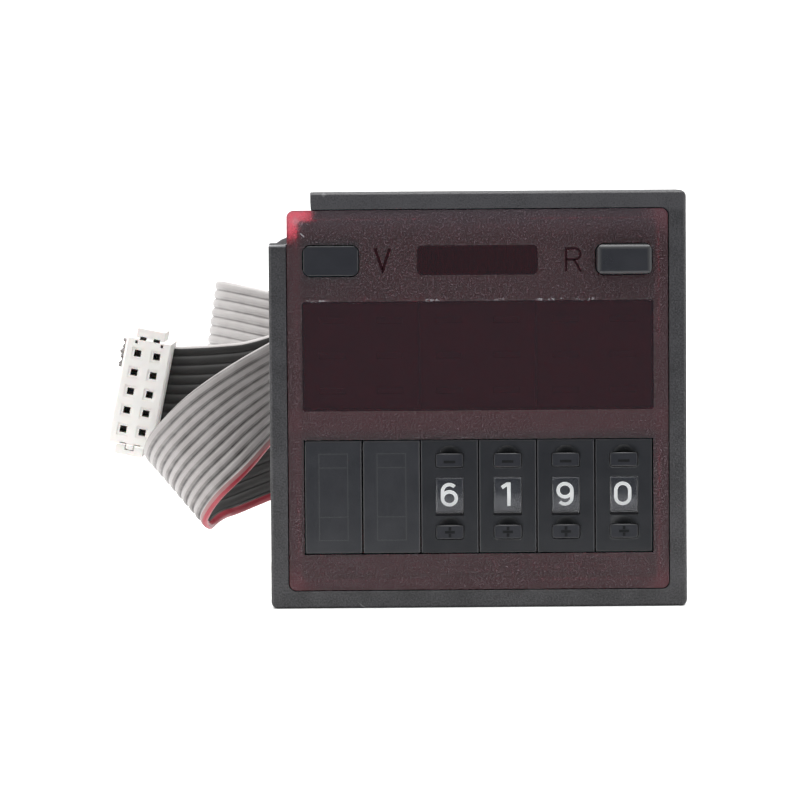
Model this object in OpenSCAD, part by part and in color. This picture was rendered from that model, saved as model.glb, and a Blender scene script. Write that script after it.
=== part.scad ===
// Panel counter with four digit switches, a reset key and a ten-way ribbon lead.
// Millimetres. Origin: centre of the frame's rear face, which seats on the panel.
// +Y goes back through the panel, the front faces -Y, +Z is up.

/* [Front frame] */
// Outer width and height of the frame
frame_w = 48; // [44:0.5:60]
// Depth from the front face to the panel
frame_d = 6; // [5:0.1:9]
// Width of the bar seen from the front
frame_bar = 2; // [1.6:0.1:3]
// Outer corner radius
frame_r = 0.8; // [0.3:0.1:2]
// Bevel round the front edge
frame_bevel = 0.3; // [0.1:0.05:0.6]
// Length broken off the left bar, from the corner
break_left = 6.2; // [5:0.1:14]
// Length broken off the top bar, from the corner
break_top = 4.8; // [4.2:0.1:14]

/* [Window] */
// Thickness of the window plate
window_t = 2; // [1.5:0.1:2.4]
// Gap between window and frame
window_gap = 0.1; // [0.05:0.01:0.2]
// Depth of the window face below the frame face
window_sink = 0.2; // [0.1:0.05:0.4]
// Width of the ledge that carries the window
ledge = 1; // [0.8:0.1:1.2]
// Rim of the window beside the display field
display_side = 1.7; // [1.5:0.1:4]
// Height of the display field
display_h = 12.6; // [10:0.1:14]
// Height of the display field above the middle between keys and bays
display_lift = 0.24; // [-0.6:0.02:0.6]
// Width of the bare legend field
legend_w = 13.9; // [8:0.1:16]
// Height of the bare legend field
legend_h = 3.4; // [2:0.1:4]
// Depth of both fields
field_sink = 0.15; // [0.05:0.01:0.3]

/* [Keys on the window] */
// Rim of the window above the keys
key_edge = 4.05; // [3.5:0.05:4.6]
// Rim of the window beside the keys
key_side = 1.85; // [1.75:0.05:4]
// Width of a key
key_w = 6.4; // [5:0.1:6.6]
// Height of a key
key_h = 3.5; // [3:0.1:3.8]
// Gap round a key
key_gap = 0.1; // [0.06:0.01:0.2]
// How far the reset key stands out of the window
reset_out = 1.3; // [0.8:0.1:2]
// Corner radius of a key
key_r = 0.9; // [0.6:0.05:1.2]
// Rounding of the reset key's front edges
reset_edge = 0.6; // [0.2:0.05:0.8]
// Rounding of the blank plug's front edges
plug_edge = 0.2; // [0.1:0.02:0.4]
// Travel of the reset key
reset_travel = 0.8; // [0.3:0.1:1]

/* [Digit switches] */
// Gap between the row of bays and the housing's nose
row_room = 0.175; // [0.1:0.025:0.6]
// Gap between two bays
bay_gap = 0.15; // [0.1:0.01:0.2]
// Height of a bay
bay_h = 13.05; // [12:0.05:14]
// Rim of the window below the bays
bay_edge = 4.225; // [3.6:0.025:5]
// Depth of the bays' faces below the window face
bay_sink = 0.1; // [0.05:0.01:0.3]
// Thickness of a switch's front plate
plate_t = 1.6; // [1.4:0.1:1.8]
// Thickness of a switch's side walls
case_wall = 0.6; // [0.5:0.05:0.65]
// Width of a digit window
lens_w = 3.1; // [2.8:0.05:3.2]
// Height of a digit window
lens_h = 4.3; // [4:0.05:4.5]
// How far a digit window stands out of its bay
lens_out = 0.2; // [0.1:0.05:0.4]
// Radius of a digit window's curved face
lens_r = 16; // [12:0.5:40]
// Width of a minus or plus key
push_w = 3.2; // [2.8:0.05:3.3]
// Height of a minus or plus key
push_h = 1.62; // [1.4:0.02:1.7]
// Distance of a minus or plus key's middle from the bay's end
push_edge = 2.375; // [2.2:0.025:2.6]
// Depth of the minus and plus keys below the bay's face
push_sink = 0.1; // [0.05:0.05:0.4]
// Gap round a minus or plus key
push_gap = 0.06; // [0.05:0.01:0.12]
// Corner radius of a minus or plus key
push_r = 0.3; // [0.2:0.05:0.5]
// Rounding of a minus or plus key's front edges
push_round = 0.14; // [0.08:0.02:0.3]
// Travel of the minus and plus keys
push_travel = 1; // [0.6:0.1:1]
// Width of the finger dish above a minus or plus key
dish_w = 2.5; // [1.8:0.1:3]
// Depth of the finger dish
dish_d = 0.4; // [0.2:0.05:0.6]
// Room between a digit wheel and the ends of its case
wheel_room = 0.225; // [0.2:0.025:0.5]
// Room between a key's arm and the side of its case
arm_room = 0.225; // [0.15:0.025:0.5]
// Wall of a digit wheel's rim
wheel_rim = 0.8; // [0.6:0.1:1.2]
// Radius of a wheel's axle
axle_r = 0.7; // [0.5:0.05:0.9]
// Running gap round an axle
axle_gap = 0.05; // [0.02:0.01:0.08]
// Radius of the ratchet on a wheel
ratchet_r = 1.7; // [1.4:0.05:1.8]

/* [Housing] */
// Wall of the housing beside the switches
nose_wall = 0.6; // [0.5:0.05:0.8]
// Wall of the housing behind the switches
housing_wall = 1.6; // [1.3:0.1:2]
// Depth behind the panel, without the cover
housing_d = 46; // [45.5:0.5:60]
// Thickness of the rear cover
cover_t = 2; // [1.5:0.1:3]
// Thickness of the circuit boards
board_t = 1.6; // [1:0.1:1.6]
// Radius of the cover screws
screw_r = 1; // [0.8:0.05:1.25]
// Gap round a screw
screw_gap = 0.04; // [0.02:0.01:0.1]

/* [Ribbon lead] */
// Number of conductors
ways = 10; // [6:2:10]
// Distance from one conductor to the next
wire_pitch = 1.27; // [1:0.01:1.27]
// Thickness of the ribbon
ribbon_t = 0.9; // [0.6:0.05:1]
// Distance from one contact to the next
contact_pitch = 2.54; // [2:0.02:2.6]
// Width of the connector
plug_w = 6.1; // [5.6:0.1:7]
// Lean of the connector
plug_lean = 11.5; // [0:0.5:20]

/* [Hidden] */
$fn = 48;

front_y = -frame_d;
opening_w = frame_w - 2 * frame_bar;
window_w = opening_w - 2 * window_gap;
window_y0 = front_y + window_sink;
window_y1 = window_y0 + window_t;
nose_gap = 0.1;
throat_w = window_w - 2 * ledge;
housing_w = throat_w - 2 * nose_gap;
nose_in = housing_w - 2 * nose_wall;
inner_w = housing_w - 2 * housing_wall;
lug_w = 12;
lug_l = 1.2;
lug_h = 0.5;
lug_y = (window_y1 - lug_l) / 2;

bays = 6;
row_w = nose_in - 2 * row_room;
bay_pitch = (row_w + bay_gap) / bays;
bay_w = bay_pitch - bay_gap;
bay_z = -window_w / 2 + bay_edge + bay_h / 2;
key_z = window_w / 2 - key_edge - key_h / 2;
key_x = window_w / 2 - key_side - key_w / 2;
display_w = window_w - 2 * display_side;
display_z = (key_z - key_h / 2 + bay_z + bay_h / 2) / 2 + display_lift;
bay_y = window_y0 + bay_sink;
plate_y = bay_y + plate_t;
row_gap = 0.1;
lip_t = 0.6;
push_z = bay_h / 2 - push_edge;
lip_low = push_z - push_h / 2;
lip_y = plate_y + 0.05;
wheel_gap = 0.3;
wheel_r = bay_h / 2 - case_wall - wheel_room;
wheel_y = lip_y + lip_t + push_travel + wheel_gap + sqrt(wheel_r * wheel_r - lip_low * lip_low);
case_y1 = wheel_y + wheel_r + wheel_gap + case_wall;
side_t = 0.8;
case_x0 = -bay_w / 2;
case_x1 = bay_w / 2 - side_t;
arm_t = 0.6;
arm_gap = 0.1;
wheel_w = bay_w - 2 * (case_wall + arm_room + arm_t + arm_gap);
arm_x = -wheel_w / 2 - arm_gap - arm_t;

led_d = 7.8;
led_gap = 0.2;
board_y = window_y1 + led_d;
board_gap = 0.1;
main_z = -1.2;
pin_len = 2.1;
row_board_y = case_y1 + pin_len;
step_y = row_board_y + board_t + board_gap;
main_y0 = board_y + board_t + board_gap;
header_back = 4;
header_d = 6;
header_w = 5;
header_end = 1.5;
header_y1 = housing_d - header_back;
header_y0 = header_y1 - header_d;
main_y1 = header_y0 - board_gap;
chip_x = -6;
chip_w = 13;
chip_h = 3.2;
chip_back = 9;

exit_x = 8;
exit_z = -2;
ribbon_w = ways * wire_pitch;
slot_gap = 0.2;
screw_edge = 2.2;
screw_at = inner_w / 2 - screw_edge;
screw_len = 10;

plug_x = -43.1;
plug_z = -2.7;
plug_y0 = 58.5;
crease_y = 65.5;
plug_half = 7.2;
tab_half = 8.4;
tab_w = 3.7;
socket_w = 0.9;

// Route of the ribbon: x, y, z, sideways lean, backward lean
ROUTE = [
    [exit_x, header_y1, exit_z, 0, 0], [exit_x, housing_d + 8, exit_z, 0, 0],
    [8, 68, -2, 0, 0], [8, 82, -2, 0, 0], [7, 93, -2, -2, 0], [2, 101, -1.6, -5, 0],
    [-8, 105, -0.7, -7, 0], [-20, 105.5, 1.1, -8.5, 0], [-29, 104.5, 2.8, -8.5, 0],
    [-33.6, 102, 4, -8.5, 0], [-35.2, 98, 4.5, -8.5, 0], [-33.6, 94, 4.4, -8.5, 0],
    [-28.7, 92, 3.4, -9, 0], [-20, 91.5, 1.4, -10, 0], [-11, 90.5, -0.7, -8, 0],
    [-4.5, 87, -2.7, 0, 0], [-2.5, 81.5, -4.3, 6, 0], [-5, 76, -6, 11, 0],
    [-12, 73.8, -7.4, 15, 0], [-20, 73.2, -9.4, 19, 0], [-28, 72.6, -12, 24, 0],
    [-34.8, 70.4, -14.7, 36, 10], [-37.6, 65.2, -16, 43, 22], [-38, 59.2, -15.9, 42, 22],
    [-38.2, 53.6, -14.4, 42, 14], [-36.9, 49.6, -12, 43, 10], [-34.5, 47.8, -9.4, 43, 6],
    [-29.6, 48.6, -4.9, 41, -22], [-24, 51, -0.8, 37, -38], [-18, 53.6, 2.9, 31, -39],
    [-13.5, 55.6, 4.6, 25, -28], [-11.2, 57.4, 5.4, 22, -12], [-10.4, 60, 5.5, 20, 0], [-11.2, 63.6, 4.9, 18, 0],
    [-13.5, 66.2, 4, 16, 0], [-18, 67.6, 1.5, 12, 0], [-23, 67.6, -1.1, 7, 0],
    [-28.2, 66.8, -2.6, 2, 0], [-32.2, 65.8, -3, -3, 0], [-36.3, crease_y, -3.2, -8, 0],
    [-39.3, crease_y, -3.2, -10, 0], [plug_x, crease_y, plug_z, -plug_lean, 0],
    [plug_x - 2.9, crease_y, plug_z + 0.6, -plug_lean, 0]
];

function bay_x(i) = (i - (bays + 1) / 2) * bay_pitch;
function switch_x(i) = bay_x(i + 2);

function blend(a, b, c, d, t) =
    (2 * b + (c - a) * t + (2 * a - 5 * b + 4 * c - d) * t * t + (3 * b - a - 3 * c + d) * t * t * t) / 2;
function stop_at(list, i) =
    i < 0 ? 2 * list[0] - list[1]
    : i > len(list) - 1 ? 2 * list[len(list) - 1] - list[len(list) - 2]
    : list[i];
function smooth(list) = [
    for (i = [0 : len(list) - 2], t = [0, 0.5])
        blend(stop_at(list, i - 1), list[i], list[i + 1], stop_at(list, i + 2), t),
    list[len(list) - 1]
];
function unit(v) = v / norm(v);
function place(p) = [p[0], p[1], p[2]];
function heading(list, i) =
    unit(place(list[min(i + 1, len(list) - 1)]) - place(list[max(i - 1, 0)]));
function across(p, t) =
    let (w = [-sin(p[3]) * cos(p[4]), sin(p[4]), cos(p[3]) * cos(p[4])])
    unit(w - (w * t) * t);

// Plates lie in X and Z and run along Y
module along_y(y0, y1) {
    translate([0, y1, 0])
        rotate([90, 0, 0])
            linear_extrude(y1 - y0)
                children();
}

// Profiles in Y and Z run along X
module along_x(x0, x1) {
    translate([x0, 0, 0])
        rotate([90, 0, 90])
            linear_extrude(x1 - x0)
                children();
}

module round_rect(w, h, r) {
    square([w - 2 * r, h], center = true);
    square([w, h - 2 * r], center = true);
    for (sx = [-1, 1], sz = [-1, 1])
        translate([sx * (w / 2 - r), sz * (h / 2 - r)])
            circle(r);
}

module slab(w, h, y0, y1, r) {
    along_y(y0, y1)
        round_rect(w, h, r);
}

module block(w, h, y0, y1) {
    translate([-w / 2, y0, -h / 2])
        cube([w, y1 - y0, h]);
}

// A block whose front edges are bevelled
module bevelled(w, h, y0, y1, c) {
    intersection() {
        along_x(-w / 2, w / 2)
            polygon([
                [y0, c - h / 2], [y0, h / 2 - c], [y0 + c, h / 2],
                [y1, h / 2], [y1, -h / 2], [y0 + c, -h / 2]
            ]);
        translate([0, 0, -h / 2])
            linear_extrude(h)
                polygon([
                    [c - w / 2, y0], [w / 2 - c, y0], [w / 2, y0 + c],
                    [w / 2, y1], [-w / 2, y1], [-w / 2, y0 + c]
                ]);
    }
}

// A block whose corners and front edges are rounded
module pillow(w, h, y0, y1, corner, edge) {
    long = 2 * (y1 - y0);
    intersection() {
        slab(w, h, y0, y1, corner);
        along_x(-w / 2, w / 2)
            translate([y0 + long / 2, 0])
                round_rect(long, h, edge);
        translate([0, 0, -h / 2])
            linear_extrude(h)
                translate([0, y0 + long / 2])
                    round_rect(w, long, edge);
    }
}

// The front frame, with its top left corner broken away
module front_frame() {
    f = frame_w / 2;
    inner = throat_w / 2 - 0.9;
    x = break_top - f;
    z = f - break_left;
    step = front_y + 3.4;
    color([0.2, 0.21, 0.21])
    difference() {
        intersection() {
            slab(frame_w, frame_w, front_y, 0, frame_r);
            bevelled(frame_w, frame_w, front_y, 0, frame_bevel);
        }
        slab(opening_w, opening_w, front_y - 1, window_y1, 0.9);
        slab(throat_w, throat_w, window_y1 - 1, 1, 0.6);
        lugs(nose_gap);
        along_y(front_y - 1, step)
            polygon([
                [-frame_w, frame_w], [x, frame_w], [x + 0.05, f - 1.1], [x + 0.12, f - 2.4],
                [x + 0.2, inner], [-inner, inner], [-inner, z + 0.4], [2.6 - f, z + 0.35],
                [1.7 - f, z + 0.15], [0.9 - f, z + 0.1], [-frame_w, z - 0.1]
            ]);
        along_y(step - 0.2, 1)
            polygon([
                [-frame_w, frame_w], [x + 0.3, frame_w], [x + 0.2, f - 1.4], [x + 0.5, f - 2.6],
                [x + 0.4, inner], [-inner, inner], [-inner, z + 1.3], [2.2 - f, z + 1.05],
                [1.4 - f, z + 0.75], [0.8 - f, z + 0.35], [-frame_w, z]
            ]);
    }
}

// The red window plate that fills the frame
module front_window() {
    color([0.28, 0.05, 0.07])
    difference() {
        slab(window_w, window_w, window_y0, window_y1, 0.8);
        translate([0, 0, display_z])
            slab(display_w, display_h, window_y0 - 1, window_y0 + field_sink, 0.3);
        translate([0, 0, key_z])
            slab(legend_w, legend_h, window_y0 - 1, window_y0 + field_sink, 0.6);
        for (s = [-1, 1])
            translate([s * key_x, 0, key_z])
                slab(key_w + 2 * key_gap, key_h + 2 * key_gap, window_y0 - 1, window_y1 + 1, key_r + key_gap);
        translate([0, 0, bay_z])
            block(row_w + 2 * row_gap, bay_h + 2 * row_gap, window_y0 - 1, window_y1 + 1);
    }
}

// One clamp rack, cut as a row of teeth
module rack_cut() {
    rack_h = 0.7;
    pitch = 1.6;
    top = housing_w / 2;
    count = floor((housing_d - step_y - 3) / pitch);
    for (i = [0 : count - 1])
        along_x(-4, 4)
            polygon([
                [step_y + 2 + i * pitch, top + 1], [step_y + 2 + i * pitch, top - rack_h],
                [step_y + 2 + (i + 1) * pitch, top], [step_y + 2 + (i + 1) * pitch, top + 1]
            ]);
}

// The snap lugs on the housing, or their pockets in the frame with a gap round them
module lugs(gap) {
    reach = housing_w + 2 * (lug_h + gap);
    block(lug_w + 2 * gap, reach, lug_y - gap, lug_y + lug_l + gap);
    block(reach, lug_w + 2 * gap, lug_y - gap, lug_y + lug_l + gap);
}

// The housing behind the window, with lugs that snap into the frame
module housing() {
    rail = 0.9;
    color([0.13, 0.13, 0.14])
    difference() {
        union() {
            slab(housing_w, housing_w, window_y1, housing_d, 0.5);
            lugs(0);
        }
        slab(nose_in, nose_in, window_y1 - 1, step_y, 0.4);
        difference() {
            slab(inner_w, inner_w, step_y - 1, housing_d + 1, 0.4);
            for (sx = [-1, 1], sz = [-1, 1])
                translate([sx * (inner_w / 2 - 2), 0, sz * (inner_w / 2 - 2)])
                    block(4.2, 4.2, housing_d - 14, housing_d - 1.6);
            for (s = [-1, 1], z = [main_z + board_gap, main_z - board_t - board_gap - rail])
                translate([s * (inner_w / 2 - rail / 2 + 0.1), 0, z + rail / 2])
                    block(rail + 0.2, rail, step_y, main_y1);
        }
        for (sx = [-1, 1], sz = [-1, 1])
            translate([sx * screw_at, housing_d + 1, sz * screw_at])
                rotate([90, 0, 0])
                    cylinder(r = screw_r + screw_gap, h = 13);
        rack_cut();
        mirror([0, 0, 1])
            rack_cut();
    }
}

// The rear cover, with the slot for the ribbon
module rear_cover() {
    lip_w = inner_w - 2 * board_gap;
    color([0.15, 0.15, 0.16])
    difference() {
        union() {
            slab(housing_w, housing_w, housing_d, housing_d + cover_t, 0.5);
            slab(lip_w, lip_w, housing_d - 1.5, housing_d, 0.4);
        }
        slab(lip_w - 2.4, lip_w - 2.4, housing_d - 2, housing_d, 0.4);
        translate([exit_x, 0, exit_z])
            block(ribbon_t + 2 * slot_gap, ribbon_w + 2 * slot_gap, housing_d - 1, housing_d + cover_t + 1);
        for (sx = [-1, 1], sz = [-1, 1])
            translate([sx * screw_at, housing_d + cover_t + 1, sz * screw_at])
                rotate([90, 0, 0])
                    cylinder(r = screw_r + screw_gap, h = cover_t + 4);
        for (z = [-14 : 2 : -10])
            translate([0, 0, z])
                block(16, 0.9, housing_d - 1, housing_d + cover_t + 1);
    }
}

// The four screws of the rear cover
module cover_screws() {
    color([0.75, 0.75, 0.74])
    for (sx = [-1, 1], sz = [-1, 1])
        translate([sx * screw_at, housing_d + cover_t, sz * screw_at])
            difference() {
                union() {
                    translate([0, 1.3, 0])
                        rotate([90, 0, 0])
                            cylinder(r = 1.9 * screw_r, h = 1.3);
                    rotate([90, 0, 0])
                        cylinder(r = screw_r, h = screw_len);
                }
                translate([-2.5, 0.7, -0.25])
                    cube([5, 2, 0.5]);
                translate([-0.25, 0.7, -2.5])
                    cube([0.5, 2, 5]);
            }
}

// The flush plug in the unused key hole
module blank_key_plug() {
    color([0.19, 0.2, 0.22])
    translate([-key_x, 0, key_z]) {
        pillow(key_w, key_h, window_y0 - 0.02, window_y1, key_r, plug_edge);
        block(min(key_w + 1, 2 * (nose_in / 2 - key_x) - 0.2), key_h + 1, window_y1, window_y1 + 0.8);
    }
}

// The reset key, which slides back into the window
module reset_key() {
    key_y = window_y0 - reset_out;
    color([0.17, 0.18, 0.19])
    translate([key_x, 0, key_z]) {
        pillow(key_w, key_h, key_y, window_y1 + 0.4, key_r, reset_edge);
        block(
            min(key_w + 0.6, 2 * (nose_in / 2 - key_x) - 0.3), key_h + 0.9,
            window_y1 + 0.05, window_y1 + 0.8
        );
        block(2, 2, window_y1 + 0.7, board_y - 4.4);
    }
}

// The plunger of the reset switch, pushed by the key
module reset_plunger() {
    color([0.1, 0.1, 0.1])
    translate([key_x, board_y - 2.6, key_z])
        rotate([90, 0, 0])
            cylinder(r = 1.6, h = 1.8);
}

// The small push switch on the front board
module reset_switch() {
    color([0.12, 0.12, 0.13])
    translate([key_x, 0, key_z])
        difference() {
            block(4.5, 4.5, board_y - 3.6, board_y);
            translate([0, board_y - 1.2, 0])
                rotate([90, 0, 0])
                    cylinder(r = 1.65, h = 5);
        }
}

// The board that carries the display and the reset switch
module front_board() {
    top = nose_in / 2 - 0.4;
    low = bay_z + bay_h / 2 + 0.6;
    color([0.1, 0.22, 0.14])
    translate([0, 0, (top + low) / 2])
        block(nose_in - 2 * board_gap, top - low, board_y, board_y + board_t);
}

// One two-digit display block
module led_display(i) {
    pitch = nose_in / 3;
    w = pitch - led_gap;
    h = display_h - 2 * led_gap;
    color([0.1, 0.09, 0.09])
    translate([(i - 2) * pitch, 0, display_z])
        difference() {
            block(w, h, window_y1 + 0.1, board_y);
            for (s = [-1, 1])
                translate([s * w / 4, 0, 0])
                    for (z = [-h / 3, 0, h / 3])
                        translate([0, 0, z])
                            block(3, 0.7, window_y1, window_y1 + 0.3);
        }
}

// The board behind the switches
module switch_board() {
    top = main_z - board_t - board_gap;
    low = -inner_w / 2 + 0.5;
    color([0.1, 0.22, 0.14])
    translate([0, 0, (top + low) / 2])
        block(nose_in - 2 * board_gap, top - low, row_board_y, row_board_y + board_t);
}

// The main board, which lies in the housing's rails
module main_board() {
    color([0.1, 0.22, 0.14])
    translate([0, 0, main_z - board_t / 2])
        block(inner_w - 2 * board_gap, board_t, main_y0, main_y1);
}

// The counter chip with its two rows of legs
module counter_chip() {
    y0 = main_y0 + 3;
    y1 = main_y1 - chip_back;
    lift = 0.7;
    color([0.08, 0.08, 0.09])
    translate([chip_x, 0, main_z]) {
        translate([0, 0, lift + chip_h / 2])
            block(chip_w, chip_h, y0, y1);
        for (s = [-1, 1], i = [0 : floor((y1 - y0 - 1) / contact_pitch)])
            translate([s * (chip_w / 2 + 0.3) - 0.3, y0 + 0.6 + i * contact_pitch, 0])
                cube([0.6, 0.5, lift + chip_h / 2]);
    }
}

// The header where the ribbon leaves the main board
module ribbon_header() {
    color([0.78, 0.76, 0.72])
    translate([exit_x, 0, exit_z])
        block(header_w, ribbon_w + 2 * header_end, header_y0, header_y1);
}

// A blank cover in an unused bay, hollow at the back, with two clip legs
module blank_cover(i) {
    color([0.2, 0.22, 0.22])
    translate([bay_x(i), 0, bay_z]) {
        difference() {
            bevelled(bay_w, bay_h, bay_y, 1, 0.1);
            block(bay_w - 2 * case_wall, bay_h - 2 * case_wall, bay_y + 1.2, 2);
        }
        for (s = [-1, 1])
            translate([0, 0, s * (bay_h / 2 - case_wall / 2)])
                block(3, case_wall, 1, row_board_y);
    }
}

// The hole of a minus or plus key, with a round finger dish above the key
module key_pocket(z) {
    r = (dish_w * dish_w / 4 + dish_d * dish_d) / (2 * dish_d);
    translate([0, 0, z])
        slab(push_w + 2 * push_gap, push_h + 2 * push_gap, bay_y - 1, plate_y + 1, push_r + push_gap);
    translate([0, bay_y + dish_d - r, z + push_h / 2 - 0.25])
        sphere(r);
}

// The case of a digit switch, open at the side that its contact board closes
module switch_case(i) {
    color([0.2, 0.22, 0.22])
    translate([switch_x(i), 0, bay_z]) {
        difference() {
            union() {
                bevelled(bay_w, bay_h, bay_y, plate_y, 0.1);
                translate([(case_x0 + case_x1) / 2, 0, 0])
                    block(case_x1 - case_x0, bay_h, plate_y - 0.2, case_y1);
            }
            translate([case_x0 + case_wall, plate_y, -bay_h / 2 + case_wall])
                cube([bay_w, case_y1 - case_wall - plate_y, bay_h - 2 * case_wall]);
            block(lens_w + 2 * push_gap, lens_h + 2 * push_gap, bay_y - 1, plate_y + 1);
            key_pocket(push_z);
            key_pocket(-push_z);
            translate([case_x0 - 1, wheel_y, 0])
                rotate([0, 90, 0])
                    cylinder(r = axle_r + axle_gap, h = 4);
        }
    }
}

// The clear window over a digit, held by its flange
module digit_lens(i) {
    color([0.7, 0.72, 0.72])
    translate([switch_x(i), 0, bay_z]) {
        intersection() {
            bevelled(lens_w, lens_h, bay_y - lens_out, plate_y + 0.1, 0.12);
            translate([-lens_w, bay_y - lens_out + lens_r, 0])
                rotate([0, 90, 0])
                    cylinder(r = lens_r, h = 2 * lens_w);
        }
        block(lens_w + 0.8, lens_h + 0.5, plate_y, plate_y + 0.4);
    }
}

// The contact board that closes a switch's side and carries the wheel
module contact_board(i) {
    color([0.12, 0.25, 0.15])
    translate([switch_x(i), 0, bay_z])
        difference() {
            union() {
                translate([case_x1 + side_t / 2, 0, 0])
                    block(side_t, bay_h - 0.2, plate_y, case_y1);
                translate([case_x1 + side_t / 2, 0, 0])
                    block(side_t, 5, case_y1 - 0.5, row_board_y);
            }
            translate([case_x1 - 1, wheel_y, 0])
                rotate([0, 90, 0])
                    cylinder(r = axle_r + axle_gap, h = 4);
        }
}

// A digit wheel: rim, web, ratchet and axle in one piece
module digit_wheel(i) {
    half = wheel_w / 2;
    axle_x = bay_w / 2 - 0.1;
    color([0.12, 0.12, 0.13])
    translate([switch_x(i), wheel_y, bay_z]) {
        rotate([0, 90, 0])
            rotate_extrude()
                polygon([
                    [0, -axle_x], [axle_r, -axle_x], [axle_r, -half], [wheel_r, -half],
                    [wheel_r, half], [wheel_r - wheel_rim, half], [wheel_r - wheel_rim, 0.5 - half],
                    [1.4, 0.5 - half], [1.4, half], [axle_r, half], [axle_r, axle_x], [0, axle_x]
                ]);
        along_x(-half - 0.6, 0.1 - half)
            polygon([
                for (k = [0 : 9], p = [[0, 1], [20, 0.72]])
                    [ratchet_r * p[1] * cos(36 * k + p[0]), ratchet_r * p[1] * sin(36 * k + p[0])]
            ]);
    }
}

// A minus key (s = 1) or a plus key (s = -1), with the arm that reaches the ratchet
module push_key(i, s) {
    tip = ratchet_r + 0.25;
    back = lip_y + lip_t;
    color([0.19, 0.2, 0.21])
    translate([switch_x(i), 0, bay_z])
        mirror([0, 0, s > 0 ? 0 : 1]) {
            translate([0, 0, push_z])
                pillow(push_w, push_h, bay_y + push_sink, lip_y + 0.1, push_r, push_round);
            translate([0, 0, (lip_low + bay_h / 2 - case_wall - 0.2) / 2])
                block(push_w + 1, bay_h / 2 - case_wall - 0.2 - lip_low, lip_y, back);
            along_x(arm_x, arm_x + arm_t)
                polygon([
                    [back - 0.1, lip_low + 0.1], [wheel_y - 1.2, tip], [wheel_y - 0.2, tip],
                    [wheel_y - 0.2, tip + 0.8], [back + 1.6, push_z + 0.9], [back - 0.1, push_z + 1.1]
                ]);
            translate([arm_x, lip_y, lip_low])
                cube([arm_t + 1, lip_t, push_h]);
        }
}

// The flat lead, swept along its route
module ribbon_cable() {
    path = smooth(ROUTE);
    n = len(path);
    a = ribbon_w / 2;
    b = ribbon_t / 2;
    ring = [
        [a, b / 2], [a - b / 2, b], [b / 2 - a, b], [-a, b / 2],
        [-a, -b / 2], [b / 2 - a, -b], [a - b / 2, -b], [a, -b / 2]
    ];
    m = len(ring);
    points = [
        for (i = [0 : n - 1])
            let (t = heading(path, i), w = across(path[i], t), u = cross(t, w))
                for (p = ring) place(path[i]) + w * p[0] + u * p[1]
    ];
    sides = [
        for (i = [0 : n - 2], k = [0 : m - 1])
            let (j = (k + 1) % m)
                each [
                    [i * m + k, i * m + j, (i + 1) * m + j],
                    [i * m + k, (i + 1) * m + j, (i + 1) * m + k]
                ]
    ];
    first = [for (k = [m - 1 : -1 : 0]) k];
    last = [for (k = [0 : m - 1]) (n - 1) * m + k];
    color([0.72, 0.7, 0.68])
    polyhedron(points = points, faces = concat([first], sides, [last]), convexity = 10);
}

module at_plug() {
    translate([plug_x, 0, plug_z])
        rotate([0, plug_lean, 0])
            children();
}

// Positions of the contacts in the connector
module at_contacts() {
    for (sx = [-0.5, 0.5], k = [0 : ways / 2 - 1])
        translate([sx * contact_pitch, 0, (k - (ways / 2 - 1) / 2) * contact_pitch])
            children();
}

// The front half of the connector, with a socket for each contact
module connector_body() {
    y1 = crease_y - ribbon_t / 2 - 0.05;
    color([0.9, 0.89, 0.86])
    at_plug()
        difference() {
            union() {
                bevelled(plug_w, 2 * plug_half, plug_y0, y1, 0.25);
                block(tab_w, 2 * tab_half, plug_y0 + 0.2, y1);
            }
            at_contacts() {
                block(socket_w, socket_w, plug_y0 - 1, plug_y0 + 5);
                translate([0.2, 0, 0])
                    block(socket_w + 0.5, socket_w, plug_y0 + 1.2, plug_y0 + 5);
                bevelled(socket_w + 0.7, socket_w + 0.7, plug_y0 - 0.1, plug_y0 + 0.12, 0.01);
            }
            for (s = [-1, 1])
                translate([s * 0.9, 0, plug_half - 0.1])
                    block(0.85, 0.45, plug_y0 - 1, plug_y0 + 2.5);
            for (s = [-1, 1])
                translate([s * (tab_w / 2 - 0.15), 0, plug_half - 0.65])
                    block(0.35, 0.4, plug_y0 - 1, plug_y0 + 2);
            latch_lines();
        }
}

// The outline of the cap's latch in the lower end of the connector
module latch_lines() {
    line = 0.16;
    for (s = [-1, 1]) {
        translate([s * 0.95, 0, -plug_half + 0.35])
            block(0.9, line, plug_y0 - 1, plug_y0 + 0.5);
        translate([s * 0.55, 0, -plug_half - 0.05])
            block(line, 0.9, plug_y0 - 1, plug_y0 + 0.5);
    }
    translate([0, 0, -plug_half - 0.45])
        block(1.2, line, plug_y0 - 1, plug_y0 + 0.5);
}

// The rear half, which presses the ribbon onto the contacts
module connector_cap() {
    y0 = crease_y + ribbon_t / 2 + 0.05;
    color([0.88, 0.87, 0.84])
    at_plug() {
        block(plug_w, 2 * plug_half, y0, y0 + 3);
        difference() {
            block(tab_w, 2 * tab_half, crease_y - ribbon_t / 2 - 0.05, y0 + 3);
            block(plug_w, ribbon_w + 0.6, crease_y - 2, y0);
        }
    }
}

// The ten spring contacts
module connector_contacts() {
    color([0.8, 0.7, 0.4])
    at_plug()
        at_contacts()
            translate([socket_w / 2 + 0.1, 0, 0])
                block(0.2, socket_w - 0.2, plug_y0 + 1.6, plug_y0 + 5);
}

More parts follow.
